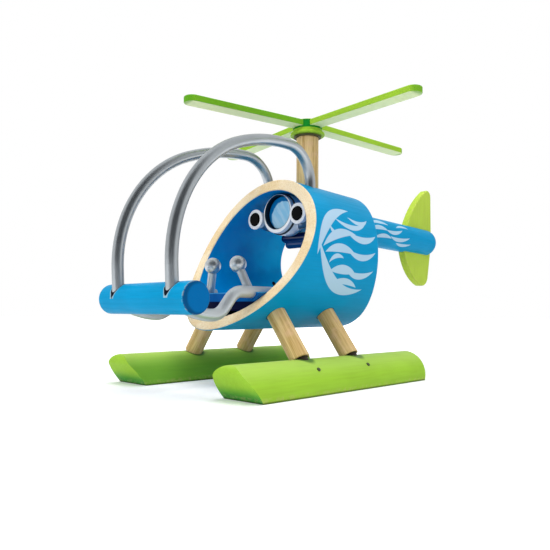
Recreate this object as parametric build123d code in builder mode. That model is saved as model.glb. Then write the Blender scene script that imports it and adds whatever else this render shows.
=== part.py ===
from build123d import *
from math import cos, radians, sin, sqrt, tan
import os

os.makedirs("parts", exist_ok=True)

# Toy helicopter of bamboo, dowels and bent metal tubes.
# +X is forward, +Y is the pilot's left and +Z is up. The origin is on the ground, under the
# middle of the toy's length. Millimetres.

# ---- whole toy --------------------------------------------------------------------------
length = 282.0  # front of the nose bar to the tip of the tail boom
nose_up = 0.75  # the body's axis rises towards the nose by this angle
glue_gap = 0.05  # all round a piece that is glued into its hole
spin_gap = 0.05  # radial clearance of the rotor on its pin

# ---- body: a bamboo tube, open at both ends ------------------------------------------------
body_radius = 44.9  # at the mast
body_flare = 1.0  # the tube grows thicker towards the front by this angle, on each side
body_wall = 6.8
body_height = 76.85  # axis above the ground, at the mast
rear_top_x = -22.3  # rear rim at the top of the tube
rear_bottom_x = -17.7
rear_scoop = 17.0  # the rear rim is scooped out by this much between the two
rear_round = 1.5
lip_top_x = 44.5  # front rim at the top of the tube
lip_bottom_x = 99.0  # front rim at the bottom of the tube
lip_scoop = 7.0  # the rim is scooped out by this much between the two
lip_round = 0.8

# ---- mast and rotor -----------------------------------------------------------------------
mast_x = 13.0
mast_radius = 7.2
mast_rise = 34.05  # the mast's top above the top of the body
mast_round = 0.6
washer_radius = 9.0
washer_thickness = 0.8
rotor_lift = 0.3  # running gap over the washer and under the pin's head
flange_radius = 11.2
flange_thickness = 1.8
boss_radius = 9.5
boss_height = 7.4
hub_round = 0.5
rotor_angle = -7.9  # first blade, from forward
blade_count = 4
blade_reach = 91.6
blade_root = 5.6
blade_width = 10.0
blade_thickness = 3.9
blade_droop = 1.45
blade_round = 0.7
blade_drop = 0.15  # top of a blade's root below the top of the boss
pin_radius = 2.0
pin_depth = 24.0
pin_head_radius = 3.9
pin_head_height = 1.8
pin_head_well = 3.2
pin_head_gap = 0.4

# ---- tail boom and fin --------------------------------------------------------------------
boom_up = 1.45  # the boom rises towards the nose by this angle
boom_radius = 10.6
boom_headroom = 1.55  # between the boom and the top of the body's bore, at the mast
boom_front_x = 38.0
boom_front_round = 1.2
boom_tail_round = 8.5
fin_thickness = 6.0
fin_round = 1.0
fin_waist = (42.5, -1.8)  # ahead of the boom's tail, above its axis there; the fin is widest here
fin_upper_bulge = (27.5, 26.2)
fin_tip = (0.4, 47.4)  # corners before they are rounded
fin_bend = (0.4, -0.8)  # the straight rear edge leans forward below this point
fin_foot = (7.8, -36.8)
fin_lower_bulge = (34.4, -23.4)
fin_tip_round = 5.0
fin_foot_round = 9.0

# ---- nose bar, arches and rails -----------------------------------------------------------
bar_radius = 8.0
bar_length = 75.0
bar_drop = 28.45  # bar axis below the body's axis at the mast
bar_round = 1.0
tube_radius = 3.2  # arches, rails and the eye bar are bent from the same tube
arch_offset_x = 3.9  # arch foot ahead of the bar's axis
arch_socket = 1.6  # lower end of an arch above the bar's axis
arch_front_y = 23.8
arch_rear_x = 30.5
arch_rear_y = 17.4
arch_rear_depth = 6.5  # of the arch's rear end in the body's wall
arch_crest = 18.0  # above the top of the body
arch_front_lean = 3.0  # the front of an arch leans forward by this angle
arch_front_bend = 69.3
arch_front_turn = 68.2  # from upright, where the front bend ends and the crown begins
arch_rear_bend = 20.4
rail_sag = 8.2  # the rail's low run below the bar's axis
rail_rear_x = 71.0
rail_drop_back = 40.1  # from the bar's axis back to where the rail starts to drop
rail_bend = 10.0
rail_turn = 50.0
rail_front_bend = 40.0
rail_front_turn = 25.0

# ---- cabin floor and levers ---------------------------------------------------------------
floor_thickness = 10.0
floor_lift = 13.75  # floor's top above the bottom of the bore, at the mast
floor_rear_x = 34.0
floor_front_x = 85.0
lever_radius = 2.4
lever_foot = (80.0, 17.0, 0.0)
lever_socket = 5.0
lever_round = 0.3
knob_radius = 4.7
knob_centre = (83.5, 10.7, 15.7)  # the height is above the floor
knob_socket = 3.0

# ---- pilot's face, on the front end of the boom ----------------------------------------------
head_drop = 1.0  # the head is turned about an axis this far below the boom's
head_rim_radius = 12.2
head_rim_length = 3.4  # how far the rim stands in front of the boom's end
head_rim_round = 0.5
head_radius = 12.9
head_length = 11.0  # from the boom's front end back
head_groove = 0.7
head_rear_round = 3.0
eye_bar_x = 31.0
eye_bar_drop = 6.8  # below the boom's axis
eye_bar_bend = 5.0
eye_bar_lean = 25.5  # the bar's ends rise towards the eyes by this angle
eye_bar_reach = 9.3  # from the straight run to either end
eye_front_x = 43.0
eye_y = 18.0
eye_drop = 3.0  # below the boom's axis
eye_ring_radius = 6.4
eye_ring_width = 1.0
eye_bowl_radius = 5.2
eye_bowl_depth = 5.0  # from the ring's front face to the back of the bowl
eye_round = 0.45
pupil_radius = 4.3
pupil_seat = 1.6
pupil_rise = 0.9
mouth_x = 23.1
mouth_gap = 0.1  # under the boom
upper_lip = (12.5, 3.0, 0.0)  # half width, radius, centre below the upper lip's
lower_lip = (9.0, 2.7, 4.2)
mouth_peg_radius = 2.0
mouth_peg_length = 5.0

# ---- legs and skids -----------------------------------------------------------------------
leg_radius = 5.35
leg_angle = 36.6  # from straight down, out from the body's axis
leg_x = {"front": 70.1, "rear": 27.2}
leg_round = 0.4
leg_inset = 0.3  # the upper end stays this far inside the body's wall
leg_let_in = 0.3  # the thick part of a leg goes this far into the skid, on the leg's axis
tenon_radius = 4.0
tenon_length = 14.5
skid_radius = 14.0
skid_axis_z = 3.5
skid_inset = 7.9  # the legs' axes pass this far outside the skids' axes
skid_rear_x = -30.0
skid_toe_x = 112.4  # front end of the flat sole
skid_toe_run = 9.2  # the toe slants forward by this much
skid_toe_z = 11.5  # where the slanted toe meets the rounded nose
skid_nose_x = 118.3  # front end of the level top
skid_nose_over = 0.6  # the rounding of the nose ends this far above the top
skid_round = 1.6
shoulder_gap = 0.3  # round a leg's thick end, where it is let into the skid
nail_radius = 0.6
nail_length = 12.0
nail_head_radius = 1.1
nail_head_height = 0.5
nail_angle = 42.0  # above level, out from the skid's axis

# ---- what follows from them ---------------------------------------------------------------
tilt = radians(nose_up)
forward = (cos(tilt), 0, sin(tilt))
boom_tilt = radians(boom_up)
inner_radius = body_radius - body_wall  # at the mast
boom_height = body_height + inner_radius - boom_radius - boom_headroom  # its axis, at the mast
bar_x = length / 2 - bar_radius
bar_z = body_height - bar_drop
boom_tail_x = -length / 2
floor_z = body_height - inner_radius + floor_lift
rail_z = bar_z - rail_sag
mast_top = body_height + body_radius + mast_rise
flange_z = mast_top + washer_thickness + rotor_lift
boss_z = flange_z + flange_thickness
hub_top = boss_z + boss_height
sides = {"left": 1, "right": -1}


def axis_z(x):
    """Height of the body's axis above the ground at x."""
    return body_height + (x - mast_x) * tan(tilt)


def boom_z(x):
    """Height of the tail boom's axis above the ground at x."""
    return boom_height + (x - mast_x) * tan(boom_tilt)


def outer_radius(x):
    """Radius of the body at x."""
    return body_radius + (x - mast_x) * tan(radians(body_flare))


mouth_top = boom_z(mouth_x) - boom_radius - mouth_gap
skid_y = (axis_z(sum(leg_x.values()) / len(leg_x)) - skid_axis_z) * tan(radians(leg_angle)) - skid_inset


def leg_shoulder(x):
    """Lower end of the thick part of the leg at x, from the body's axis."""
    drop = axis_z(x) - skid_axis_z
    nearest = skid_y * sin(radians(leg_angle)) + drop * cos(radians(leg_angle))
    offset = drop * sin(radians(leg_angle)) - skid_y * cos(radians(leg_angle))
    return nearest - sqrt(skid_radius**2 - offset**2) + leg_let_in


def across_boom(x, rise=0.0):
    """Plane square to the boom's axis at x, looking forward, rise above that axis."""
    return Plane(origin=(x, 0, boom_z(x) + rise), x_dir=(0, 1, 0), z_dir=(cos(boom_tilt), 0, sin(boom_tilt)))


def leg_plane(x, side):
    """Plane at the body's axis whose normal runs down along a leg."""
    down = (0, side * sin(radians(leg_angle)), -cos(radians(leg_angle)))
    return Plane(origin=(x, 0, axis_z(x)), x_dir=(1, 0, 0), z_dir=down)


def export(builder, name):
    builder.part.label = name
    export_step(builder.part, f"parts/{name}.step")


def rod(plane, radius, start, end):
    """A plain cylinder along the plane's normal, from start to end."""
    with BuildPart() as cylinder:
        with BuildSketch(plane.offset(start)):
            Circle(radius)
        extrude(amount=end - start)
    return cylinder.part


def culm(start, end, depth):
    """A solid stretch of the body from start to end, depth below its outer surface all round."""
    lower = (Align.CENTER, Align.CENTER, Align.MIN)
    with BuildPart() as stretch:
        with Locations(Plane(origin=(start, 0, axis_z(start)), x_dir=(0, 1, 0), z_dir=forward)):
            Cone(outer_radius(start) - depth, outer_radius(end) - depth, (end - start) / cos(tilt), align=lower)
    return stretch.part


def drum(first, second, scoop):
    """A roller across the toy through two points of its side view, sunk by the scoop between them."""
    chord = second - first
    radius = chord.length**2 / (8 * scoop) + scoop / 2
    out = Vector(chord.Z, 0, -chord.X).normalized()
    centre = (first + second) / 2 + out * (radius - scoop)
    with BuildPart() as roller:
        with BuildSketch(Plane.XZ):
            with Locations((centre.X, centre.Z)):
                Circle(radius)
        extrude(amount=2 * body_radius, both=True)
    return roller.part


# ---- paths of the bent tubes ---------------------------------------------------------------
def arch_plane(side):
    """Upright plane through both feet of an arch, its X running from the rear foot forward."""
    run_x = bar_x + arch_offset_x - arch_rear_x
    run_y = side * (arch_front_y - arch_rear_y)
    return Plane(
        origin=(arch_rear_x, side * arch_rear_y, 0), x_dir=(run_x, run_y, 0), z_dir=(run_y, -run_x, 0)
    )


def arch_tube(side, radius):
    """An arch, from its socket in the nose bar over the cabin to the top of the body."""
    lean = radians(arch_front_lean)
    turn = radians(arch_front_turn)
    foot_z = bar_z + arch_socket
    crest_z = axis_z(arch_rear_x) + outer_radius(arch_rear_x) + arch_crest
    rear_z = axis_z(arch_rear_x) + sqrt(outer_radius(arch_rear_x) ** 2 - arch_rear_y**2) - arch_rear_depth
    span = sqrt((bar_x + arch_offset_x - arch_rear_x) ** 2 + (arch_front_y - arch_rear_y) ** 2)
    reach = span - arch_rear_bend - arch_front_bend * (cos(lean) - cos(turn))
    climb = crest_z - foot_z - arch_front_bend * (sin(lean) + sin(turn))
    crown_slope = (1 - sin(turn)) / cos(turn)
    riser_length = (climb - crown_slope * reach) / (cos(lean) + crown_slope * sin(lean))
    crown_bend = (reach + riser_length * sin(lean)) / cos(turn)
    knee = (span + riser_length * sin(lean), foot_z + riser_length * cos(lean))
    with BuildPart() as tube:
        with BuildLine(arch_plane(side)) as path:
            Line((span, foot_z), knee)
            front = JernArc(knee, (sin(lean), cos(lean)), arch_front_bend, arch_front_lean + arch_front_turn)
            crown = JernArc(front @ 1, front % 1, crown_bend, 90 - arch_front_turn)
            rear = JernArc(crown @ 1, (-1, 0), arch_rear_bend, 90)
            Line(rear @ 1, (0, rear_z))
        with BuildSketch(Plane(origin=path.line @ 0, z_dir=path.line % 0)):
            Circle(radius)
        sweep(path=path.line)
    return tube.part


def rail_tube(side, radius):
    """A rail, from the cabin floor down past the rim and up into the nose bar."""
    step = floor_z - rail_z
    drop_x = bar_x - rail_drop_back
    turn = radians(rail_turn)
    slope = (step - 2 * rail_bend * (1 - cos(turn))) / sin(turn)
    with BuildPart() as tube:
        with BuildLine(Plane(origin=(0, side * arch_front_y, 0), x_dir=(1, 0, 0), z_dir=(0, -1, 0))) as path:
            run = Line((rail_rear_x, floor_z), (drop_x, floor_z))
            over = JernArc(run @ 1, (1, 0), rail_bend, -rail_turn)
            down = Line(over @ 1, over @ 1 + slope * (over % 1))
            level = JernArc(down @ 1, down % 1, rail_bend, rail_turn)
            JernArc(level @ 1, (1, 0), rail_front_bend, rail_front_turn)
        with BuildSketch(Plane(origin=path.line @ 0, z_dir=(1, 0, 0))):
            Circle(radius)
        sweep(path=path.line)
    return tube.part


def eye_bar_tube(radius):
    """The bar through the head that carries both eyes, bent forward at its ends."""
    rise = radians(eye_bar_lean)
    plane = Plane(
        origin=(eye_bar_x, 0, boom_z(eye_bar_x) - eye_bar_drop),
        x_dir=(0, 1, 0),
        z_dir=(sin(rise), 0, -cos(rise)),
    )
    with BuildPart() as tube:
        with BuildLine(plane) as path:
            start = Line((-eye_y, eye_bar_reach), (-eye_y, eye_bar_bend))
            turn_in = JernArc(start @ 1, (0, -1), eye_bar_bend, 90)
            run = Line(turn_in @ 1, (eye_y - eye_bar_bend, 0))
            turn_out = JernArc(run @ 1, (1, 0), eye_bar_bend, 90)
            Line(turn_out @ 1, (eye_y, eye_bar_reach))
        with BuildSketch(Plane(origin=path.line @ 0, z_dir=path.line % 0)):
            Circle(radius)
        sweep(path=path.line)
    return tube.part


# ---- outline of the fin, in the upright plane along the toy ------------------------------------
def fin_blank(thickness):
    boom_end = (boom_tail_x, 0, boom_z(boom_tail_x))
    with BuildPart() as blank:
        with BuildSketch(Plane(origin=boom_end, x_dir=(1, 0, 0), z_dir=(0, -1, 0))) as outline:
            with BuildLine():
                ThreePointArc(fin_waist, fin_upper_bulge, fin_tip)
                Polyline(fin_tip, fin_bend, fin_foot)
                ThreePointArc(fin_foot, fin_lower_bulge, fin_waist)
            make_face()
            fillet(outline.vertices().sort_by(Axis.Y)[-1], fin_tip_round)
            fillet(outline.vertices().sort_by(Axis.Y)[0], fin_foot_round)
        extrude(amount=thickness / 2, both=True)
    return blank.part


# ---- body tube ----------------------------------------------------------------------------
lip_top = Vector(lip_top_x, 0, axis_z(lip_top_x) + outer_radius(lip_top_x))
lip_bottom = Vector(lip_bottom_x, 0, axis_z(lip_bottom_x) - outer_radius(lip_bottom_x))
rear_top = Vector(rear_top_x, 0, axis_z(rear_top_x) + outer_radius(rear_top_x))
rear_bottom = Vector(rear_bottom_x, 0, axis_z(rear_bottom_x) - outer_radius(rear_bottom_x))
body_ends = (rear_top_x - body_wall, lip_bottom_x + body_wall)  # before they are scooped out

with BuildPart() as body_tube:
    add(culm(*body_ends, 0))
    add(culm(*body_ends, body_wall), mode=Mode.SUBTRACT)
    add(drum(lip_bottom, lip_top, lip_scoop), mode=Mode.SUBTRACT)
    add(drum(rear_top, rear_bottom, rear_scoop), mode=Mode.SUBTRACT)
    rims = body_tube.faces().sort_by(Axis.X)
    fillet(rims[-1].edges(), lip_round)
    fillet(rims[0].edges(), rear_round)
    with BuildSketch(Plane.XY.offset(axis_z(mast_x))):
        with Locations((mast_x, 0)):
            Circle(mast_radius + glue_gap)
    extrude(amount=2 * body_radius, mode=Mode.SUBTRACT)
    for x in leg_x.values():
        for side in sides.values():
            along = leg_plane(x, side)
            add(rod(along, leg_radius + glue_gap, inner_radius / 2, 2 * body_radius), mode=Mode.SUBTRACT)
    for side in sides.values():
        add(arch_tube(side, tube_radius + glue_gap), mode=Mode.SUBTRACT)
export(body_tube, "body_tube")

# ---- tail boom and fin --------------------------------------------------------------------
with BuildPart() as tail_boom:
    with BuildSketch(across_boom(boom_tail_x)):
        Circle(boom_radius)
    extrude(amount=(boom_front_x - boom_tail_x) / cos(boom_tilt))
    fillet(tail_boom.edges().group_by(Axis.X)[0], boom_tail_round)
    fillet(tail_boom.edges().group_by(Axis.X)[-1], boom_front_round)
    with BuildSketch(Plane.XY):
        with Locations((mast_x, 0)):
            Circle(mast_radius + glue_gap)
    extrude(amount=mast_top, mode=Mode.SUBTRACT)
    add(fin_blank(fin_thickness + 2 * glue_gap), mode=Mode.SUBTRACT)
    add(eye_bar_tube(tube_radius + glue_gap), mode=Mode.SUBTRACT)
    with BuildSketch(Plane.XY.offset(mouth_top)):
        with Locations((mouth_x, 0)):
            Circle(mouth_peg_radius + glue_gap)
    extrude(amount=mouth_peg_length + glue_gap, mode=Mode.SUBTRACT)
export(tail_boom, "tail_boom")

with BuildPart() as tail_fin:
    add(fin_blank(fin_thickness))
    flats = tail_fin.faces().sort_by(Axis.Y)
    fillet(flats[0].edges() + flats[-1].edges(), fin_round)
export(tail_fin, "tail_fin")

# ---- mast and rotor -----------------------------------------------------------------------
mast_bottom = boom_height - boom_radius + mast_round
with BuildPart() as rotor_mast:
    with BuildSketch(Plane.XY.offset(mast_bottom)):
        with Locations((mast_x, 0)):
            Circle(mast_radius)
    extrude(amount=mast_top - mast_bottom)
    fillet(rotor_mast.edges().filter_by(GeomType.CIRCLE), mast_round)
    with Locations((mast_x, 0, mast_top)):
        Hole(pin_radius + glue_gap, depth=pin_depth + glue_gap)
export(rotor_mast, "rotor_mast")

with BuildPart() as rotor_washer:
    with BuildSketch(Plane.XY.offset(mast_top)):
        with Locations((mast_x, 0)):
            Circle(washer_radius)
            Circle(pin_radius + glue_gap, mode=Mode.SUBTRACT)
    extrude(amount=washer_thickness)
export(rotor_washer, "rotor_washer")

pin_head_z = hub_top - pin_head_well + rotor_lift
with BuildPart() as rotor_pin:
    with BuildSketch(Plane.XY.offset(mast_top - pin_depth)):
        with Locations((mast_x, 0)):
            Circle(pin_radius)
    extrude(amount=pin_head_z - mast_top + pin_depth)
    with BuildSketch(Plane.XY.offset(pin_head_z)):
        with Locations((mast_x, 0)):
            Circle(pin_head_radius)
    extrude(amount=pin_head_height)
    fillet(rotor_pin.edges().sort_by(Axis.Z)[-1], pin_head_height / 2)
export(rotor_pin, "rotor_pin")


def blade_plane(index):
    """Plane through the middle of a blade's root, its X running out along the drooping blade."""
    turn = radians(rotor_angle + index * 360 / blade_count)
    droop = radians(blade_droop)
    out = (cos(turn) * cos(droop), sin(turn) * cos(droop), -sin(droop))
    across = (-sin(turn), cos(turn), 0)
    root_z = hub_top - blade_drop - blade_thickness / 2
    return Plane(origin=(mast_x, 0, root_z), x_dir=out, z_dir=Vector(*out).cross(Vector(*across)))


def blade_blank(index, gap, round_edges):
    """A flat blade with a half-round tip, grown all round by the gap."""
    reach = blade_reach / cos(radians(blade_droop))
    half = blade_width / 2 + gap
    with BuildPart() as blank:
        with BuildSketch(blade_plane(index)):
            with BuildLine():
                tip = reach - blade_width / 2
                Line((tip, -half), (blade_root - gap, -half))
                Line((blade_root - gap, -half), (blade_root - gap, half))
                Line((blade_root - gap, half), (tip, half))
                ThreePointArc((tip, half), (reach + gap, 0), (tip, -half))
            make_face()
        extrude(amount=blade_thickness / 2 + gap, both=True)
        if round_edges:
            flat = blank.faces().sort_by(Axis.Z)
            tips = flat[0].edges() + flat[-1].edges()
            fillet(tips, blade_round)
    return blank.part


with BuildPart() as rotor_hub:
    with BuildSketch(Plane.XY.offset(flange_z)):
        with Locations((mast_x, 0)):
            Circle(flange_radius)
    extrude(amount=flange_thickness)
    with BuildSketch(Plane.XY.offset(boss_z)):
        with Locations((mast_x, 0)):
            Circle(boss_radius)
    extrude(amount=boss_height)
    rims = rotor_hub.edges().filter_by(GeomType.CIRCLE)
    fillet(rims.group_by(SortBy.RADIUS)[-1] + rims.sort_by(Axis.Z)[-1:], hub_round)
    with Locations((mast_x, 0, hub_top)):
        CounterBoreHole(pin_radius + spin_gap, pin_head_radius + pin_head_gap, pin_head_well)
    for index in range(blade_count):
        add(blade_blank(index, glue_gap, False), mode=Mode.SUBTRACT)
export(rotor_hub, "rotor_hub")

for index in range(blade_count):
    with BuildPart() as rotor_blade:
        add(blade_blank(index, 0, True))
    export(rotor_blade, f"rotor_blade_{index + 1}")

# ---- nose bar, arches and rails -----------------------------------------------------------
with BuildPart() as nose_bar:
    with BuildSketch(Plane.XZ):
        with Locations((bar_x, bar_z)):
            Circle(bar_radius)
    extrude(amount=bar_length / 2, both=True)
    fillet(nose_bar.edges().filter_by(GeomType.CIRCLE), bar_round)
    for side in sides.values():
        add(arch_tube(side, tube_radius + glue_gap), mode=Mode.SUBTRACT)
        add(rail_tube(side, tube_radius + glue_gap), mode=Mode.SUBTRACT)
export(nose_bar, "nose_bar")

for name, side in sides.items():
    with BuildPart() as arch:
        add(arch_tube(side, tube_radius))
    export(arch, f"arch_{name}")
    with BuildPart() as rail:
        add(rail_tube(side, tube_radius))
    export(rail, f"rail_{name}")

# ---- cabin floor and levers ---------------------------------------------------------------


def lever_plane(side):
    """Plane at the middle of a lever's knob, its normal running down the lever to its foot."""
    knob = Vector(knob_centre[0], side * knob_centre[1], floor_z + knob_centre[2])
    foot = Vector(lever_foot[0], side * lever_foot[1], floor_z)
    return Plane(origin=knob, x_dir=(1, 0, 0), z_dir=foot - knob)


lever_reach = (Vector(*knob_centre) - Vector(*lever_foot)).length

with BuildPart() as cabin_floor:
    add(culm(floor_rear_x, floor_front_x, body_wall + glue_gap))
    with BuildSketch(Plane.XY.offset(floor_z - floor_thickness)):
        with Locations(((floor_front_x + floor_rear_x) / 2, 0)):
            Rectangle(2 * (floor_front_x - floor_rear_x), 2 * body_radius)
    extrude(amount=floor_thickness, mode=Mode.INTERSECT)
    for side in sides.values():
        add(rail_tube(side, tube_radius + glue_gap), mode=Mode.SUBTRACT)
        socket = rod(lever_plane(side), lever_radius + glue_gap, 0, lever_reach + lever_socket)
        add(socket, mode=Mode.SUBTRACT)
export(cabin_floor, "cabin_floor")

for name, side in sides.items():
    with BuildPart() as lever:
        add(rod(lever_plane(side), lever_radius, knob_socket - knob_radius, lever_reach + lever_socket))
        fillet(lever.edges().filter_by(GeomType.CIRCLE), lever_round)
    export(lever, f"lever_{name}")
    with BuildPart() as knob:
        with Locations(lever_plane(side).origin):
            Sphere(knob_radius)
        bore = rod(lever_plane(side), lever_radius + glue_gap, knob_socket - knob_radius, 2 * knob_radius)
        add(bore, mode=Mode.SUBTRACT)
    export(knob, f"knob_{name}")

# ---- pilot's face -------------------------------------------------------------------------
head_front = across_boom(boom_front_x, -head_drop)
with BuildPart() as pilot_head:
    with BuildSketch(head_front.offset(-head_length)):
        Circle(head_radius)
    extrude(amount=head_length)
    fillet(pilot_head.edges().sort_by(Axis.X)[0], head_rear_round)
    fillet(pilot_head.edges().sort_by(Axis.X)[-1], head_groove)
    with BuildSketch(head_front):
        Circle(head_rim_radius)
    extrude(amount=head_rim_length)
    fillet(pilot_head.edges().sort_by(Axis.X)[-1], head_rim_round)
    boom_bore = rod(across_boom(0), boom_radius + glue_gap, 0, boom_front_x + head_length)
    add(boom_bore, mode=Mode.SUBTRACT)
    add(eye_bar_tube(tube_radius + glue_gap), mode=Mode.SUBTRACT)
export(pilot_head, "pilot_head")

with BuildPart() as eye_bar:
    add(eye_bar_tube(tube_radius))
export(eye_bar, "eye_bar")

for name, side in sides.items():
    eye_z = boom_z(eye_front_x) - eye_drop
    eye_plane = Plane(origin=(eye_front_x, side * eye_y, eye_z), x_dir=(0, 1, 0), z_dir=(1, 0, 0))
    with BuildPart() as eye_ring:
        with BuildSketch(eye_plane.offset(-eye_ring_width)):
            Circle(eye_ring_radius)
        extrude(amount=eye_ring_width)
        with BuildSketch(eye_plane.offset(-eye_bowl_depth)):
            Circle(eye_bowl_radius)
        extrude(amount=eye_bowl_depth)
        rims = eye_ring.edges().filter_by(GeomType.CIRCLE)
        fillet(rims.group_by(SortBy.RADIUS)[-1] + rims.sort_by(Axis.X)[:1], eye_round)
        with BuildSketch(eye_plane):
            Circle(pupil_radius + glue_gap)
        extrude(amount=-pupil_seat, mode=Mode.SUBTRACT)
        add(eye_bar_tube(tube_radius + glue_gap), mode=Mode.SUBTRACT)
    export(eye_ring, f"eye_ring_{name}")
    with BuildPart() as pupil:
        with BuildSketch(eye_plane.offset(-pupil_seat)):
            Circle(pupil_radius)
        extrude(amount=pupil_seat + pupil_rise)
        fillet(pupil.edges().sort_by(Axis.X)[-1], pupil_rise)
    export(pupil, f"pupil_{name}")

with BuildPart() as mouth:
    for half_width, radius, drop in (upper_lip, lower_lip):
        lip_z = mouth_top - upper_lip[1] - drop
        with BuildSketch(Plane(origin=(mouth_x, 0, lip_z), x_dir=(0, 1, 0), z_dir=(-1, 0, 0))):
            SlotOverall(2 * half_width, 2 * radius)
            with Locations((0, half_width)):
                Rectangle(2 * half_width, 2 * half_width, mode=Mode.SUBTRACT)
        revolve(axis=Axis((mouth_x, 0, lip_z), (0, 1, 0)))
    with BuildSketch(Plane.XY.offset(mouth_top - upper_lip[1])):
        with Locations((mouth_x, 0)):
            Circle(mouth_peg_radius)
    extrude(amount=upper_lip[1] + mouth_peg_length)
export(mouth, "mouth")

# ---- legs and skids -----------------------------------------------------------------------


def skid_blank(side):
    """A skid without its holes: a dowel with a flat sole and a slanted toe."""
    middle = side * skid_y
    with BuildPart() as blank:
        with BuildSketch(Plane.YZ.offset(skid_rear_x)):
            with Locations((middle, skid_axis_z)):
                Circle(skid_radius)
        extrude(amount=skid_nose_x + skid_radius - skid_rear_x)
        fillet(blank.edges().sort_by(Axis.X)[0], skid_round)
        toe = (skid_toe_x + skid_toe_run, skid_toe_z)
        nose = (skid_nose_x, skid_axis_z + skid_radius + skid_nose_over)
        clear = (skid_rear_x - skid_radius, skid_axis_z + 2 * skid_radius)
        with BuildSketch(Plane.XZ.offset(-middle)):
            with BuildLine():
                Line((clear[0], 0), (skid_toe_x, 0))
                Line((skid_toe_x, 0), toe)
                TangentArc(toe, nose, tangent=(skid_toe_run, skid_toe_z))
                Polyline(nose, (nose[0], clear[1]), clear, (clear[0], 0))
            make_face()
        extrude(amount=2 * skid_radius, both=True, mode=Mode.INTERSECT)
    return blank.part


def nail_plane(x, side):
    """Plane on the skid's surface at a leg, its normal running in to the skid's axis."""
    level = cos(radians(nail_angle))
    steep = sin(radians(nail_angle))
    head = (x, side * (skid_y + skid_radius * level), skid_axis_z + skid_radius * steep)
    return Plane(origin=head, x_dir=(1, 0, 0), z_dir=(0, -side * level, -steep))


for side_name, side in sides.items():
    with BuildPart() as skid:
        add(skid_blank(side))
        for x in leg_x.values():
            along = leg_plane(x, side)
            shoulder = leg_shoulder(x)
            mortise = shoulder + tenon_length + shoulder_gap
            add(rod(along, leg_radius + shoulder_gap, body_radius, shoulder), mode=Mode.SUBTRACT)
            add(rod(along, tenon_radius + glue_gap, body_radius, mortise), mode=Mode.SUBTRACT)
            nail_hole = rod(nail_plane(x, side), nail_radius + glue_gap, -nail_head_radius, nail_length)
            add(nail_hole, mode=Mode.SUBTRACT)
    export(skid, f"skid_{side_name}")
    for end_name, x in leg_x.items():
        with BuildPart() as leg:
            along = leg_plane(x, side)
            add(rod(along, leg_radius, outer_radius(x) - body_wall + leg_inset, leg_shoulder(x)))
            fillet(leg.edges().filter_by(GeomType.CIRCLE), leg_round)
            add(rod(along, tenon_radius, body_radius, leg_shoulder(x) + tenon_length))
            add(rod(nail_plane(x, side), nail_radius + glue_gap, 0, nail_length), mode=Mode.SUBTRACT)
        export(leg, f"leg_{end_name}_{side_name}")
        with BuildPart() as nail:
            add(rod(nail_plane(x, side), nail_radius, 0, nail_length - glue_gap))
            add(rod(nail_plane(x, side), nail_head_radius, -nail_head_height, 0))
            fillet(nail.edges().sort_by(Axis.Z)[-2:], nail_head_height / 2)
        export(nail, f"nail_{end_name}_{side_name}")
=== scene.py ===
from math import radians, tan

import bpy
from mathutils import Matrix, Vector

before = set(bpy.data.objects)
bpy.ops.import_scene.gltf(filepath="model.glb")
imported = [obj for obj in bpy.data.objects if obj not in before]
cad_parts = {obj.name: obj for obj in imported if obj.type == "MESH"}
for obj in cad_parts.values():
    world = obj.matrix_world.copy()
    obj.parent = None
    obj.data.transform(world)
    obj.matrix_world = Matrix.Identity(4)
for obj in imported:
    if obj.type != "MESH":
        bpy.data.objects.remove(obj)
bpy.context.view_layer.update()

MM = 0.001

# ---- places on the toy, in metres -------------------------------------------------------------
MAST = Vector((13.0, 0.0, 0.0)) * MM
BODY_AXIS = Vector((13.0, 0.0, 76.85)) * MM
BODY_UP = radians(0.75)  # the body rises towards the nose by this angle
BODY_TURN = (0, -BODY_UP, 0)
BODY_FLARE = tan(radians(1.0))  # and grows thicker by this much for each metre forward
BODY_RADIUS = 44.9 * MM  # at the mast
BODY_WALL = 6.8 * MM
BOOM_AXIS = Vector((13.0, 0.0, 102.8)) * MM
BOOM_UP = radians(1.45)
BOOM_TURN = (0, -BOOM_UP, 0)
BOOM_RADIUS = 10.6 * MM
BOOM_FRONT = 25.0 * MM  # ahead of the mast
BAR_AXIS = Vector((133.0, 0.0, 48.4)) * MM
BAR_REACH = 37.5 * MM  # to either end
ARCH_AHEAD = 4.3 * MM  # of the bar's axis, where an arch goes into the bar
ARCH_ASIDE = 23.8 * MM
TUBE_RADIUS = 3.2 * MM
LIP_TOP = Vector((44.5, 122.71)) * MM  # the front cut's ends, ahead and up
LIP_BOTTOM = Vector((99.0, 31.57)) * MM
LIP_SCOOP = 7.0 * MM  # how far that cut bulges
REAR_TOP = Vector((-22.3, 120.67)) * MM
REAR_BOTTOM = Vector((-17.7, 32.08)) * MM
REAR_SCOOP = 17.0 * MM
LEG_ANGLE = radians(36.6)
LEG_MIDDLE = 35.65 * MM  # halfway between the front and the rear legs, ahead of the mast
LEG_SPREAD = 21.45 * MM
TENON_TOP = -65 * MM  # along a leg, from the body's axis
SKID_SIDE = 9 * MM  # above the floor; a skid's side is below this height and its top above
FIN_SIDE = 2.6 * MM  # from the fin's middle plane
DARK_SPOT = Vector((8.2, -34.7, 61.3)) * MM
NOSE_REFLECTION_MIDDLE = (1.6 * MM, -2.2 * MM)  # the middle of the painted reflection on the nose, left of the boom's axis and above it
END_SHIFT = 1.3 * MM  # of the nose bar's end shading, rearwards
ROTOR_TURN = radians(-7.9)

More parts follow.
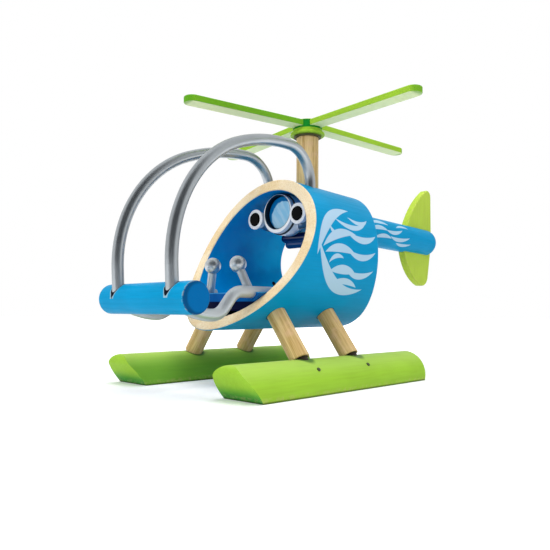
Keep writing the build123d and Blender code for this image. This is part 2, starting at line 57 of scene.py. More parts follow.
# ---- where a finish changes, in metres: it begins at the first distance, and is full at the second
PRINT_EDGE = (0.1 * MM, -0.1 * MM)  # outside a stroke of a print
RIM_WOOD = (0.7 * MM, 0.45 * MM)  # from a saw cut
BORE_PAINT = (0.5 * MM, 0.3 * MM)  # outside the bore
BORE_LIGHT_REAR = (34 * MM, -14 * MM)  # painted light towards the rear opening, ahead of the mast
SPOT = (1.9 * MM, 1.5 * MM)  # from its middle
BODY_LEG_SHADE = (6.4 * MM, 5.5 * MM)  # painted shade round a leg where it goes into the body, from the leg's axis
SKID_LEG_SHADE = (7.4 * MM, 5.6 * MM)
TENON = (4.8 * MM, 4.6 * MM)
NOSE_FACE = (BOOM_FRONT - 0.9 * MM, BOOM_FRONT - 0.6 * MM)  # along the boom
NOSE_REFLECTION_EDGE = (10.9 * MM, 10.1 * MM)  # of the painted reflection on the nose, from its middle
BAR_END = (BAR_REACH - 0.9 * MM, BAR_REACH - 0.4 * MM)  # from the bar's middle
BAR_SCUFF = (0.7 * MM, 0.2 * MM)  # from the bar's end, less the bevel
BAR_BEVEL = 0.8 * MM
END_CRESCENT = (6.0 * MM, 7.6 * MM)  # from the middle of the end shading
GAP_RIM = (1.1 * MM, 0.95 * MM)  # outside an arch
GAP_SHADE = (0.8 * MM, 0.65 * MM)
FIN_EDGE = (0.5 * MM, 0.1 * MM)  # from the fin's side
SKID_INNER = (10 * MM, 50 * MM)  # from the middle plane, times how much the face looks at it
TOE_SHADE = (9 * MM, 1 * MM)  # above the floor
SOLE_SCUFF = (3.4 * MM, 1.8 * MM)
SOLE_SHADOW = (1.3 * MM, 0.4 * MM)
BLADE_TIP_SHADE = (87.5 * MM, 90.5 * MM)  # from the mast
BOSS_FOOT = (160.4 * MM, 160.9 * MM)  # above the floor
BOSS_TOP = (165.9 * MM, 165.6 * MM)
LOWER_LIP = (88.0 * MM, 87.0 * MM)
BLOCK_UPPER = (47.2 * MM, 47.8 * MM)
BLOCK_TOP = (51.7 * MM, 52.2 * MM)
THROAT_SHADE = (BOOM_RADIUS + 0.35 * MM, BOOM_RADIUS + 0.2 * MM)  # from the boom's axis
HEAD_GROOVE_SHADE = (0.7 * MM, 0.4 * MM)  # from the boom's front
FLOOR_GLOW = (0.16, 0.42)  # from the toy's middle

# Strokes of the printed ornaments, in millimetres: where a stroke starts, where it ends, and how
# far each of its two edges bulges to the left on the way. Rearwards and upwards are positive.
SIDE_STROKES = (
    (-44, -4, -6, 27, 11, 4.6),
    (-42, 4, 5, -22, -15.5, -8.5),
    (-24, 19.5, 6, 19, -6.0, -2.6),
    (-39, 1, -7, 10.5, 6.5, 1.2),
    (-16, 12.2, 14, 12, -6.4, -2.2),
    (-37, -2, -9, -1.5, 5.6, 0.6),
    (-17, 1.6, 12, 1.5, -6.2, -2.4),
    (-31, -12, -7, -12.5, 4.2, -1.2),
    (-16, -10.5, 11, -10, -5.6, -1.8),
    (-28, -19.5, -2, -21, 4.6, 0.8),
    (-10, 22, 10, 22.5, -5.0, -2.0),
    (-20, 8.6, -31, 14.6, 4.4, 1.4),
    (-20, -4.4, -33, -7.6, -3.8, -1.2),
)
BOOM_STROKES = (
    (58, 4.6, 80, 5.4, 3.4, 0.4),
    (56, -0.6, 78, 0.8, 3.6, 0.4),
    (76, 1.4, 98, 3.4, -3.6, -0.8),
    (62, -6.2, 84, -4.4, 3.4, 0.4),
    (82, -2.8, 108, -1.4, -3.8, -0.8),
    (90, 4.6, 108, 6.0, 2.8, 0.6),
    (92, -7.0, 112, -6.0, -3.0, -0.4),
)


# ---- colours ----------------------------------------------------------------------------------
def tint(red, green, blue):
    """A colour given as it looks on a screen, 0 to 255, as the linear value a shader wants."""
    linear = []
    for channel in (red / 255, green / 255, blue / 255):
        linear.append(channel / 12.92 if channel < 0.04045 else ((channel + 0.055) / 1.055) ** 2.4)
    return (*linear, 1.0)


def darker(colour, by):
    return tuple(channel * by for channel in colour[:3]) + (1.0,)


def grey(level):
    return (level, level, level, 1.0)


BLUE = tint(0, 153, 206)
BLUE_INSIDE = tint(0, 142, 210)
# paler blue: painted light inside the bore towards its rear opening
BLUE_REAR_LIT = tint(0, 196, 246)
BLUE_DEEP = tint(0, 110, 190)
# darker blue: painted shade on end faces turned away from the light
BLUE_END_SHADE = tint(0, 106, 172)
# pale blue: painted reflection on the boom's front end
BLUE_NOSE_REFLECTION = tint(142, 202, 234)
BLUE_GLINT = tint(196, 226, 244)
PRINT = tint(178, 210, 232)
GAP_PALE = tint(150, 190, 205)
GREEN = tint(162, 208, 62)
GREEN_TOP_LIGHT = tint(196, 218, 124)
GREEN_SHADE = tint(40, 150, 60)
GREEN_LEG_SHADE = tint(10, 76, 40)
# dark olive: painted contact shadow along the skids' soles
SOLE_SHADOW_GREEN = tint(44, 66, 16)
FIN_GREEN = tint(188, 216, 76)
ROTOR_GREEN = tint(160, 204, 58)
ROTOR_DEEP = tint(116, 178, 40)
ROTOR_UNDER_LIGHT = tint(228, 240, 186)
ROTOR_TIP_SHADE = tint(84, 156, 30)
HUB_BOSS_SHADE = tint(24, 132, 44)
PALE_WOOD = tint(232, 202, 144)
WOOD_GRAIN = tint(184, 146, 80)
PINK_WOOD = tint(228, 188, 150)
WORN_WOOD = tint(206, 190, 130)
TENON_SHADE_BROWN = tint(40, 32, 16)
RIM_LIGHT = tint(245, 229, 198)
RIM_DARK = tint(226, 196, 144)
RIM_BUNDLE = tint(168, 128, 78)
SILVER = tint(164, 170, 174)
RAIL_SILVER = tint(186, 192, 196)
BRIGHT_SILVER = tint(232, 236, 240)
NAIL_BROWN = tint(66, 76, 40)
NAVY = tint(4, 30, 84)
LIP_BLUE = tint(8, 66, 124)
BLOCK_SHADE = tint(6, 12, 48)
BLOCK_BLUE = tint(10, 88, 160)
BLOCK_EDGE_HIGHLIGHT = tint(60, 140, 200)
# near black: painted shade in gaps, recesses and the head's throat, and the colour of one dark spot
# in the bore
SHADE_AND_SPOT_BLACK = tint(8, 12, 26)
EYE_WHITE = tint(246, 248, 250)
EYE_BLACK = tint(2, 2, 3)
WASHER_OLIVE = tint(92, 92, 62)
PAPER_WHITE = grey(0.9)
BACKDROP_WHITE = grey(1.0)
FLOOR_GREY = grey(0.2)  # how much the floor near the toy glows
UNLIT = grey(0.0)

# ---- lacquer ----------------------------------------------------------------------------------
USUAL_ROUGHNESS = 0.4
LACQUER_GLOSS = 0.06  # weight of the clear coat
FLAT = (1, 1, 1)  # no grain
GRAIN_X, GRAIN_Y, GRAIN_Z = (0.05, 1, 1), (1, 0.05, 1), (1, 1, 0.05)  # along one axis

# ---- the studio -------------------------------------------------------------------------------
DARK_HEADING = (0.60, 0.68, 0.42)  # the studio that the metals mirror is dark in this direction
DARK_SPREAD = (0.42, 0.85)  # cosines of the angle to it where the dark begins and is full
ROOM_AIR = (0.44, 0.45, 0.47, 1)
ROOM_DARK = (0.03, 0.035, 0.04, 1)
SOFT_BOXES = (  # name, place, size, power
    ("overhead_box", (0.1, 0.0, 0.95), (0.8, 0.8), 6.2),
    ("side_box", (0.1, 0.9, 0.8), (0.6, 0.7), 3.0),
    ("front_box", (1.05, -0.1, 0.45), (0.5, 0.8), 3.4),
)
LAMP_TARGET = Vector((0.0, 0.0, 0.08))
CAMERA_PLACE = (0.30276, 0.25157, 0.04253)
CAMERA_FORWARD = Vector((-0.70977, -0.70247, 0.05256))
CAMERA_RIGHT = Vector((-0.70323, 0.71094, 0.00534))
CAMERA_UP = Vector((0.04112, 0.03317, 0.99860))
SENSOR_WIDTH = 36.0
LENS = 38.703927
LENS_SHIFT = (0.0116, 0.0085)


# ---- node trees -------------------------------------------------------------------------------
class Wire:
    """A number in a node tree. Sums, products and comparisons of wires add the nodes for them."""

    def __init__(self, bench, socket):
        self.bench = bench
        self.socket = socket

    def maths(self, operation, *others):
        return self.bench.out("ShaderNodeMath", {"operation": operation}, (self,) + others)

    def __add__(self, other):
        return self.maths("ADD", other)

    __radd__ = __add__

    def __mul__(self, other):
        return self.maths("MULTIPLY", other)

    def __sub__(self, other):
        return self.maths("SUBTRACT", other)

    def __rsub__(self, other):
        return self.bench.out("ShaderNodeMath", {"operation": "SUBTRACT"}, (other, self))

    def __gt__(self, other):
        return self.maths("GREATER_THAN", other)

    def __lt__(self, other):
        return self.maths("LESS_THAN", other)

    def __abs__(self):
        return self.maths("ABSOLUTE")

    def __neg__(self):
        return self.maths("MULTIPLY", -1.0)

    def root(self):
        return self.maths("SQRT")

    def nearer(self, other):
        return self.maths("MINIMUM", other)

    def farther(self, other):
        return self.maths("MAXIMUM", other)

    def ramp(self, start, end, amount=1.0):
        """0 up to start, amount from end on, and smooth between them. end may be below start."""
        values = {"Value": self, "From Min": start, "From Max": end, "To Max": amount}
        return self.bench.out("ShaderNodeMapRange", {"interpolation_type": "SMOOTHSTEP"}, values)


def distance(first, second):
    """How far a point with these two offsets is from their origin."""
    return (first * first + second * second).root()


class Workbench:
    """A node tree, to which nodes are added one call at a time."""

    def __init__(self, tree):
        self.tree = tree

    def add(self, kind, settings, sockets):
        node = self.tree.nodes.new(kind)
        for name, value in settings.items():
            setattr(node, name, value)
        named = sockets.items() if isinstance(sockets, dict) else enumerate(sockets)
        for key, value in named:
            self.plug(node.inputs[key], value)
        return node

    def plug(self, socket, value):
        if isinstance(value, Wire):
            self.tree.links.new(value.socket, socket)
        else:
            socket.default_value = value

    def out(self, kind, settings, sockets, output=0):
        return Wire(self, self.add(kind, settings, sockets).outputs[output])

    def split(self, vector):
        parts = self.add("ShaderNodeSeparateXYZ", {}, {"Vector": vector})
        return [Wire(self, parts.outputs[axis]) for axis in range(3)]

    def blend(self, mask, first, second):
        """first where mask is 0, second where it is 1."""
        mixer = self.add("ShaderNodeMix", {"data_type": "RGBA"}, {0: mask, 6: first, 7: second})
        return Wire(self, mixer.outputs[2])

    def rays(self, *kinds):
        """1 for a ray of any of these kinds."""
        path = self.add("ShaderNodeLightPath", {}, {})
        wires = [Wire(self, path.outputs[f"Is {kind} Ray"]) for kind in kinds]
        total = wires[0]
        for wire in wires[1:]:
            total = total.farther(wire)
        return total

    def dark_side(self, heading):
        """1 where a direction, of length 1, points at the dark side of the studio."""
        product = {"operation": "DOT_PRODUCT"}
        cosine = self.out("ShaderNodeVectorMath", product, (heading, DARK_HEADING), "Value")
        return cosine.ramp(*DARK_SPREAD)


class Finish(Workbench):
    """A material."""

    def __init__(self, name):
        self.material = bpy.data.materials.new(name)
        self.material.use_nodes = True
        super().__init__(self.material.node_tree)
        self.shader = self.tree.nodes["Principled BSDF"]

    def here(self):
        return self.out("ShaderNodeTexCoord", {}, {}, "Object")

    def place(self, centre=(0, 0, 0), turn=(0, 0, 0), stretch=(1, 1, 1)):
        """Coordinates about centre along axes turned by turn, in metres times stretch."""
        local = {"Vector": self.here(), "Location": centre, "Rotation": turn}
        turned = self.out("ShaderNodeMapping", {"vector_type": "TEXTURE"}, local)
        return self.out("ShaderNodeVectorMath", {"operation": "MULTIPLY"}, (turned, stretch))

    def reach(self, point):
        """Distance from a point, in metres."""
        apart = {"operation": "DISTANCE"}
        return self.out("ShaderNodeVectorMath", apart, (self.here(), point), "Value")

    def facing(self):
        """The surface's normal, as three numbers."""
        return self.split(self.out("ShaderNodeNewGeometry", {}, {}, "Normal"))

    def noise(self, vector, size, detail=3.0, rough=0.5, twist=0.0):
        """Noise with features about size metres wide."""
        sockets = {"Vector": vector, "Scale": 1 / size, "Detail": detail}
        sockets.update({"Roughness": rough, "Distortion": twist})
        return self.out("ShaderNodeTexNoise", {}, sockets)

    def cells(self, vector, size):
        """Distance to the nearest of many scattered points, about size metres apart."""
        sockets = {"Vector": vector, "Scale": 1 / size, "Randomness": 1.0}
        return self.out("ShaderNodeTexVoronoi", {}, sockets, "Distance")

    def surface(self, **sockets):
        for name, value in sockets.items():
            self.plug(self.shader.inputs[name.replace("_", " ")], value)

    def relief(self, height, depth):
        """Raises and lowers the surface by depth metres where height goes from 0 to 1."""
        bump = {"Height": height, "Distance": depth, "Strength": 1.0}
        self.plug(self.shader.inputs["Normal"], self.out("ShaderNodeBump", {}, bump))

    def current(self, socket):
        """What a socket of the shader is fed with so far."""
        return Wire(self, self.shader.inputs[socket].links[0].from_socket)

    def overlay(self, mask, colour, rough=None):
        """Lays a colour over the finish where mask is 1, and its roughness where one is given."""
        self.surface(Base_Color=self.blend(mask, self.current("Base Color"), colour))
        if rough is not None:
            shift = mask * (rough - USUAL_ROUGHNESS)
            self.surface(Roughness=self.current("Roughness") + shift)

    def scuff(self, edge, amount):
        """Thins a lacquer along an edge, in patches, so that the wood begins to show."""
        patches = self.noise(self.place(), size=2.4 * MM, detail=4.0, rough=0.7)
        self.overlay(edge * patches.ramp(0.42, 0.62, amount), WORN_WOOD, rough=0.55)


# ---- shapes drawn by a finish -----------------------------------------------------------------
def circle_through(first, second, bulge):
    """Centre and radius of the circle whose arc bulges to the left of the way first to second."""
    way = second - first
    radius = way.length**2 / (8 * abs(bulge)) + abs(bulge) / 2
    left = Vector((-way.y, way.x)).normalized()
    offset = radius - abs(bulge)
    return (first + second) / 2 - left * (offset if bulge > 0 else -offset), radius


def outside_arc(x, y, first, second, bulge):
    """How far a point is outside the circle of an arc."""
    centre, radius = circle_through(first, second, bulge)
    return distance(x - centre.x, y - centre.y) - radius


def ornament(x, y, strokes):
    """1 on the strokes of a printed ornament, 0 off them. x runs rearwards and y upwards."""
    nearest = None
    for start_x, start_y, end_x, end_y, outer, inner in strokes:
        start = Vector((start_x, start_y)) * MM
        end = Vector((end_x, end_y)) * MM
        full = outside_arc(x, y, start, end, outer * MM)
        cut = outside_arc(x, y, start, end, inner * MM)
        stroke = full.farther(-cut if outer * inner > 0 else cut)
        nearest = stroke if nearest is None else nearest.nearer(stroke)
    return nearest.ramp(*PRINT_EDGE)


def side_print(along, across, up, radius, strokes):
    """An ornament on both sides of a cylinder, from a point's place along and about its axis."""
    return ornament(-along, up.maths("ARCTAN2", abs(across)) * radius, strokes)


def leg_place(finish, side):
    """Distance from the nearer leg's axis on one side, and height along it from the body's axis."""
    along, across, up = finish.split(finish.place(BODY_AXIS, (side * LEG_ANGLE, 0, 0)))
    return distance(abs(along - LEG_MIDDLE) - LEG_SPREAD, across), up


# ---- kinds of finish --------------------------------------------------------------------------
def gloss_paint(name, colour, grain=GRAIN_X, centre=(0, 0, 0), turn=(0, 0, 0),
                rough=0.38, gloss=LACQUER_GLOSS):
    """Sprayed lacquer over wood: the grain just shows through it."""
    paint = Finish(name)
    fibre = paint.noise(paint.place(centre, turn, grain), size=1.1 * MM, detail=4.0, rough=0.6)
    cloud = paint.noise(paint.place(), size=22 * MM, detail=2.0)
    peel = paint.noise(paint.place(), size=0.9 * MM, detail=1.0)
    shade = fibre.ramp(0.35, 0.75, amount=0.45) + cloud.ramp(0.3, 0.7, amount=0.35)
    paint.surface(
        Base_Color=paint.blend(shade, colour, darker(colour, 0.8)),
        Roughness=rough + fibre.ramp(0.3, 0.8, amount=0.1),
        Specular_IOR_Level=0.02,
        Coat_Weight=gloss,
        Coat_Roughness=0.12,
    )
    paint.relief(fibre * 0.7 + peel * 0.3, depth=0.05 * MM)
    return paint


def bare_wood(name, centre, turn=(0, 0, 0)):
    """A sanded dowel along its own z axis: long fibres, darker bands and short pores."""
    wood = Finish(name)
    stretched = wood.place(centre, turn, (1, 1, 0.045))
    fibre = wood.noise(stretched, size=0.7 * MM, detail=5.0, rough=0.65)
    band = wood.noise(stretched, size=3.2 * MM, detail=2.0, twist=0.6)
    pores = wood.cells(stretched, size=0.85 * MM)
    cloud = wood.noise(wood.place(centre), size=7 * MM, detail=2.0)
    shade = fibre.ramp(0.4, 0.68, amount=0.5) + band.ramp(0.42, 0.62, amount=0.55)
    body = wood.blend(shade, PALE_WOOD, WOOD_GRAIN)
    body = wood.blend(cloud.ramp(0.5, 0.72, amount=0.45), body, PINK_WOOD)
    pore = pores.ramp(0.17, 0.05) * cloud.ramp(0.42, 0.58)
    wood.surface(
        Base_Color=wood.blend(pore * 0.6, body, darker(WOOD_GRAIN, 0.4)),
        Roughness=0.5 + fibre.ramp(0.3, 0.8, amount=0.16),
        Specular_IOR_Level=0.3,
    )
    wood.relief(fibre * 0.8 - pore * 0.6, depth=0.06 * MM)
    return wood


def satin_metal(name, colour, rough, shine=0.9):
    """Satin aluminium, or painted like it: very fine specks and a faint cloudiness."""
    metal = Finish(name)
    specks = metal.noise(metal.place(), size=0.7 * MM, detail=2.0, rough=0.6)
    waves = metal.noise(metal.place(), size=3.0 * MM, detail=1.0)
    cloud = metal.noise(metal.place(), size=14 * MM)
    duller = cloud.ramp(0.35, 0.7, amount=0.5) + specks.ramp(0.5, 0.8, amount=0.2)
    metal.surface(
        Base_Color=metal.blend(duller, colour, darker(colour, 0.8)),
        Metallic=shine,
        Roughness=rough + cloud * 0.08,
    )
    metal.relief(waves, depth=0.01 * MM)
    return metal


# ---- the finish of each piece -----------------------------------------------------------------
def culm_wood(paint):
    """Sawn bamboo: pale, with fine fibres and the dots of its bundles."""
    long_way = paint.place(BODY_AXIS, BODY_TURN, (0.09, 1, 1))
    fibre = paint.noise(long_way, size=0.8 * MM, detail=4.0, rough=0.6)
    bundles = paint.cells(paint.place(BODY_AXIS, BODY_TURN, (0.16, 1, 1)), size=1.3 * MM)
    cloud = paint.noise(paint.place(), size=16 * MM, detail=2.0)
    shade = fibre.ramp(0.35, 0.7, amount=0.55) + cloud.ramp(0.4, 0.6, amount=0.45)
    wood = paint.blend(shade, RIM_LIGHT, RIM_DARK)
    return paint.blend(bundles.ramp(0.22, 0.08, amount=0.4), wood, RIM_BUNDLE)


def bore_paint(paint, along):
    """Blue inside the body: painted light towards the rear opening, deeper in patches, and one dark
    spot.
    """
    cloud = paint.noise(paint.place(), size=16 * MM, detail=2.0)
    # painted light: the bore grows paler towards its rear opening
    inner = paint.blend(along.ramp(*BORE_LIGHT_REAR), BLUE_INSIDE, BLUE_REAR_LIT)
    inner = paint.blend(cloud.ramp(0.3, 0.7, amount=0.4), inner, BLUE_DEEP)
    return paint.blend(paint.reach(DARK_SPOT).ramp(*SPOT), inner, SHADE_AND_SPOT_BLACK)


def tube_finish():
    """The body: printed lacquer outside, other blues inside, bare wood where it was sawn."""
    paint = gloss_paint("body_lacquer", BLUE, centre=BODY_AXIS, turn=BODY_TURN)
    along, across, up = paint.split(paint.place(BODY_AXIS, BODY_TURN))
    past_bore = distance(across, up) - along * BODY_FLARE - (BODY_RADIUS - BODY_WALL)
    inside = past_bore.ramp(*BORE_PAINT)
    printed = side_print(along, across, up, BODY_RADIUS, SIDE_STROKES) * (1 - inside)
    ahead, _, height = paint.split(paint.place())
    front_cut = outside_arc(ahead, height, LIP_BOTTOM, LIP_TOP, LIP_SCOOP)
    rear_cut = outside_arc(ahead, height, REAR_TOP, REAR_BOTTOM, REAR_SCOOP)
    bare = abs(front_cut).nearer(abs(rear_cut)).ramp(*RIM_WOOD)
    paint.overlay(printed, PRINT, rough=0.5)
    for side in (1, -1):
        off_leg, leg_up = leg_place(paint, side)
        # painted shade round each leg where it goes into the body
        paint.overlay(off_leg.ramp(*BODY_LEG_SHADE, amount=0.75) * (leg_up < 0), SHADE_AND_SPOT_BLACK)
    paint.overlay(inside, bore_paint(paint, along))
    paint.overlay(bare, culm_wood(paint), rough=0.6)
    paint.surface(Coat_Weight=(1 - bare) * LACQUER_GLOSS)
    return paint


def boom_finish():
    """The tail boom: a print along both sides, and a painted reflection on the front end, which is
    the nose: a pale disc with glints, ringed by painted shade.
    """
    paint = gloss_paint("boom_lacquer", BLUE, centre=BOOM_AXIS, turn=BOOM_TURN)
    along, across, up = paint.split(paint.place(BOOM_AXIS, BOOM_TURN))
    paint.overlay(side_print(along, across, up, BOOM_RADIUS, BOOM_STROKES), PRINT, rough=0.5)
    ragged = paint.noise(paint.place(), size=4.0 * MM, detail=2.0) * (2.4 * MM)
    off_reflection = distance(across - NOSE_REFLECTION_MIDDLE[0], up - NOSE_REFLECTION_MIDDLE[1]) + ragged
    slanted = paint.place(BOOM_AXIS, (radians(35), 0, 0), (1, 1, 0.2))
    # painted reflection: a pale disc with streaks of highlight, in a ring of darker painted shade
    streaks = paint.noise(slanted, size=2.2 * MM).ramp(0.4, 0.66, amount=0.5)
    disc = paint.blend(streaks, BLUE_NOSE_REFLECTION, BLUE_GLINT)
    disc = paint.blend(off_reflection.ramp(*NOSE_REFLECTION_EDGE), BLUE_END_SHADE, disc)
    paint.overlay(along.ramp(*NOSE_FACE), disc, rough=0.3)
    return paint


def bar_finish():
    """The nose bar: painted shade on its ends, and painted shade in the gap round each arch where
    it goes into its hole.
    """
    paint = gloss_paint("bar_lacquer", BLUE, GRAIN_Y, BAR_AXIS)
    along, across, up = paint.split(paint.place(BAR_AXIS))
    # painted shade on the bar's ends, with a darker crescent inside the bevel
    crescent = distance(along + END_SHIFT, up).ramp(*END_CRESCENT)
    end_shade = paint.blend(crescent, BLUE_END_SHADE, darker(BLUE_END_SHADE, 0.55))
    paint.overlay(abs(across).ramp(*BAR_END), end_shade)
    paint.scuff(abs(abs(across) - (BAR_REACH - BAR_BEVEL)).ramp(*BAR_SCUFF), amount=0.35)
    ragged = paint.noise(paint.place(), size=1.5 * MM, detail=2.0) * (0.5 * MM)
    off_arch = distance(along - ARCH_AHEAD, abs(across) - ARCH_ASIDE) - TUBE_RADIUS + ragged
    paint.overlay(off_arch.ramp(*GAP_RIM) * (up > 0), GAP_PALE, rough=0.6)
    # painted shade in the gap round each arch where it goes into its hole
    paint.overlay(off_arch.ramp(*GAP_SHADE) * (up > 0), SHADE_AND_SPOT_BLACK, rough=0.6)
    return paint


def fin_finish():
    """The tail fin: plain lacquer, rubbed along its edges."""
    paint = gloss_paint("fin_lacquer", FIN_GREEN, GRAIN_Z)
    _, across, _ = paint.split(paint.place())
    paint.scuff(abs(abs(across) - FIN_SIDE).ramp(*FIN_EDGE), amount=0.4)
    return paint


def skid_finish():
    """A skid: painted light on top, and painted shade on its inner face, low on its toe and round
    the legs.

    The lacquer is rubbed above the sole's edges, and the edges themselves are darkened by a painted
    contact shadow.
    """
    paint = gloss_paint("skid_lacquer", GREEN)
    _, across, up = paint.split(paint.place())
    facing_ahead, facing_aside, facing_up = paint.facing()
    # painted light on the upward faces
    paint.overlay(facing_up.ramp(0.3, 1.0, amount=0.35), GREEN_TOP_LIGHT)
    paint.overlay((-(across * facing_aside)).ramp(*SKID_INNER, amount=0.75), GREEN_SHADE)
    paint.overlay(facing_ahead.ramp(0.3, 0.6) * up.ramp(*TOE_SHADE, amount=0.9), GREEN_SHADE)
    for side in (1, -1):
        off_leg, _ = leg_place(paint, side)
        # painted shade round each leg where it goes into the skid
        paint.overlay(off_leg.ramp(*SKID_LEG_SHADE, amount=0.7) * (up > SKID_SIDE), GREEN_LEG_SHADE)
    paint.scuff(up.ramp(*SOLE_SCUFF), amount=0.3)
    # painted contact shadow along the sole's edges
    paint.overlay(up.ramp(*SOLE_SHADOW, amount=0.75), SOLE_SHADOW_GREEN)
    return paint


def blade_finish(name, grain, colour=ROTOR_GREEN):
    """A blade: painted light underneath, and painted shade on the rounded end of its tip."""
    paint = gloss_paint(name, colour, grain, MAST, (0, 0, ROTOR_TURN))
    _, _, facing_up = paint.facing()
    # painted light on the underside, lit from below
    paint.overlay((-facing_up).ramp(0.55, 0.85), ROTOR_UNDER_LIGHT)
    ahead, aside, _ = paint.split(paint.place(MAST))
    # painted shade on the rounded end of the tip
    paint.overlay(distance(ahead, aside).ramp(*BLADE_TIP_SHADE, amount=0.6), ROTOR_TIP_SHADE)
    return paint


def hub_finish():
    """The hub: its boss, between the blades, has painted shade, a deeper green than its flange."""
    paint = gloss_paint("hub_lacquer", ROTOR_GREEN, FLAT, MAST)
    _, _, up = paint.split(paint.place())
    # painted shade on the boss between the blades
    paint.overlay(up.ramp(*BOSS_FOOT) * up.ramp(*BOSS_TOP), HUB_BOSS_SHADE)
    return paint


def leg_finish(side):
    """A leg: bare beech, with painted shade on the thinner end that goes down into the skid."""
    name = "leg_wood_left" if side > 0 else "leg_wood_right"
    wood = bare_wood(name, BODY_AXIS, (side * LEG_ANGLE, 0, 0))
    off_leg, up = leg_place(wood, side)
    # painted shade on the tenon inside the skid's hole
    wood.overlay(off_leg.ramp(*TENON) * (up < TENON_TOP), TENON_SHADE_BROWN)
    return wood


def head_finish():
    """The pilot's head: a bright rim round a throat in painted shade, and painted shade in the
    groove behind the rim.
    """
    metal = satin_metal("head_silver", BRIGHT_SILVER, rough=0.26)
    along, across, up = metal.split(metal.place(BOOM_AXIS, BOOM_TURN))
    groove = abs(along - BOOM_FRONT).ramp(*HEAD_GROOVE_SHADE)
    # painted shade inside the throat and in the groove behind the rim
    dark = distance(across, up).ramp(*THROAT_SHADE).farther(groove)
    metal.overlay(dark, SHADE_AND_SPOT_BLACK)
    metal.surface(Metallic=(1 - dark) * 0.45)
    return metal


def mouth_finish():
    """The lips: glossy navy, the lower one a little lighter."""
    paint = gloss_paint("lip_lacquer", NAVY, GRAIN_Y, rough=0.12, gloss=0.8)
    _, _, up = paint.split(paint.place())
    paint.overlay(up.ramp(*LOWER_LIP), LIP_BLUE)
    return paint


def block_finish():
    """The cabin floor, in painted shade: darker blue on its upper half, nearly black on its lower
    half, with a painted highlight along its top edge.
    """
    # painted shade: nearly black below, darker blue above, and a painted highlight on the top edge
    paint = gloss_paint("floor_lacquer", BLOCK_SHADE, rough=0.3)
    _, _, up = paint.split(paint.place())
    paint.overlay(up.ramp(*BLOCK_UPPER), BLOCK_BLUE)
    paint.overlay(up.ramp(*BLOCK_TOP), BLOCK_EDGE_HIGHLIGHT)
    return paint


finishes = {
    "body_tube": tube_finish(),
    "tail_boom": boom_finish(),
    "nose_bar": bar_finish(),
    "tail_fin": fin_finish(),
    "skids": skid_finish(),
    "rotor_hub": hub_finish(),
    "first_blade": blade_finish("first_blade_lacquer", GRAIN_X, ROTOR_DEEP),
    "blades_along": blade_finish("blade_lacquer", GRAIN_X),
    "blades_across": blade_finish("cross_blade_lacquer", GRAIN_Y),
    "mast": bare_wood("mast_wood", MAST),
    "legs_left": leg_finish(1),
    "legs_right": leg_finish(-1),
    "tubes": satin_metal("satin_tube", SILVER, rough=0.25),
    "rails": satin_metal("satin_rail", RAIL_SILVER, rough=0.36, shine=0.6),
    "knobs": satin_metal("satin_knob", RAIL_SILVER, rough=0.32),
    "nails": satin_metal("nail_steel", NAIL_BROWN, rough=0.5, shine=0.3),
    "head": head_finish(),
    "floor_block": block_finish(),
    "mouth": mouth_finish(),
    "rings": gloss_paint("white_enamel", EYE_WHITE, FLAT, rough=0.2),
    "pupils": gloss_paint("black_enamel", EYE_BLACK, FLAT, rough=0.3, gloss=0.08),
    "washer": gloss_paint("washer_black", WASHER_OLIVE, FLAT, rough=0.5),
}

# Which finish each piece wears: first the single pieces, then those with a left and a right one.
wear = {
    "body_tube": "body_tube", "tail_boom": "tail_boom", "nose_bar": "nose_bar",
    "tail_fin": "tail_fin", "rotor_hub": "rotor_hub", "rotor_blade_1": "first_blade",
    "rotor_blade_2": "blades_across", "rotor_blade_3": "blades_along",
    "rotor_blade_4": "blades_across", "rotor_mast": "mast", "rotor_washer": "washer",
    "rotor_pin": "nails", "cabin_floor": "floor_block", "pilot_head": "head",
    "eye_bar": "tubes", "mouth": "mouth",
}
for side in ("left", "right"):
    for piece, finish in (
        ("skid", "skids"), ("arch", "tubes"), ("rail", "rails"), ("lever", "rails"),
        ("knob", "knobs"), ("eye_ring", "rings"), ("pupil", "pupils"),
        ("leg_front", "legs_" + side), ("leg_rear", "legs_" + side),
        ("nail_front", "nails"), ("nail_rear", "nails"),
    ):
        wear[f"{piece}_{side}"] = finish

for name, finish in wear.items():
    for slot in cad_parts[name].material_slots:
        slot.material = finishes[finish].material

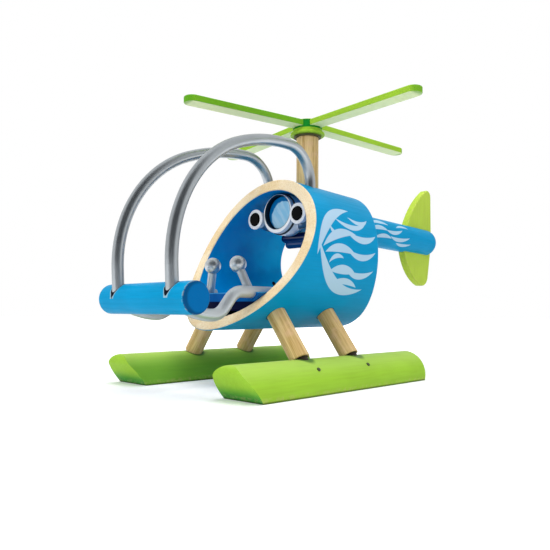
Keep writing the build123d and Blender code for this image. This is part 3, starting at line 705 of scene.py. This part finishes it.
# ---- floor ------------------------------------------------------------------------------------
bpy.ops.object.select_all(action="DESELECT")
bpy.ops.mesh.primitive_plane_add(size=6.0, location=(0, 0, 0))
ground = bpy.context.object
ground.name = "studio_floor"
sheet = Finish("studio_sheet")
away = sheet.reach((0, 0, 0)).ramp(*FLOOR_GLOW)
heading = sheet.out("ShaderNodeVectorMath", {"operation": "NORMALIZE"}, (sheet.here(),))
mirrored = sheet.rays("Glossy", "Transmission") * (1 - away * sheet.dark_side(heading))
shown = sheet.rays("Camera").farther(mirrored)
glow = sheet.blend(away, FLOOR_GREY, BACKDROP_WHITE)
sheet.surface(
    Base_Color=PAPER_WHITE,
    Roughness=0.9,
    Specular_IOR_Level=0.0,
    Emission_Color=sheet.blend(shown, UNLIT, glow),
    Emission_Strength=1.0,
)
ground.data.materials.append(sheet.material)

# ---- air: plain for light on the toy, white in sight and in reflections, but for the dark side --
world = bpy.data.worlds.new("studio_air")
bpy.context.scene.world = world
world.use_nodes = True
air = Workbench(world.node_tree)
backdrop = world.node_tree.nodes["Background"]
heading = air.out("ShaderNodeTexCoord", {}, {}, "Generated")
mirrored = air.rays("Glossy", "Transmission") * (1 - air.dark_side(heading))
shown = air.rays("Camera").farther(mirrored)
plain = air.blend(air.rays("Glossy", "Transmission"), ROOM_AIR, ROOM_DARK)
air.plug(backdrop.inputs["Color"], air.blend(shown, plain, BACKDROP_WHITE))
air.plug(backdrop.inputs["Strength"], 1.0)

# ---- lamps and camera -------------------------------------------------------------------------
for name, place, size, power in SOFT_BOXES:
    bpy.ops.object.light_add(type="AREA", location=place)
    lamp = bpy.context.object
    lamp.name = name
    lamp.data.shape = "RECTANGLE"
    lamp.data.size, lamp.data.size_y = size
    lamp.data.energy = power
    lamp.rotation_euler = (LAMP_TARGET - Vector(place)).to_track_quat("-Z", "Y").to_euler()
    lamp.visible_glossy = False

bpy.ops.object.camera_add(location=CAMERA_PLACE)
camera = bpy.context.object
axes = Matrix((CAMERA_RIGHT, CAMERA_UP, -CAMERA_FORWARD)).transposed()
camera.matrix_world = Matrix.Translation(camera.location) @ axes.to_4x4()
camera.data.sensor_width = SENSOR_WIDTH
camera.data.lens = LENS
camera.data.shift_x, camera.data.shift_y = LENS_SHIFT
camera.data.clip_start = 0.01
bpy.context.scene.camera = camera
bpy.context.scene.view_settings.view_transform = "Standard"
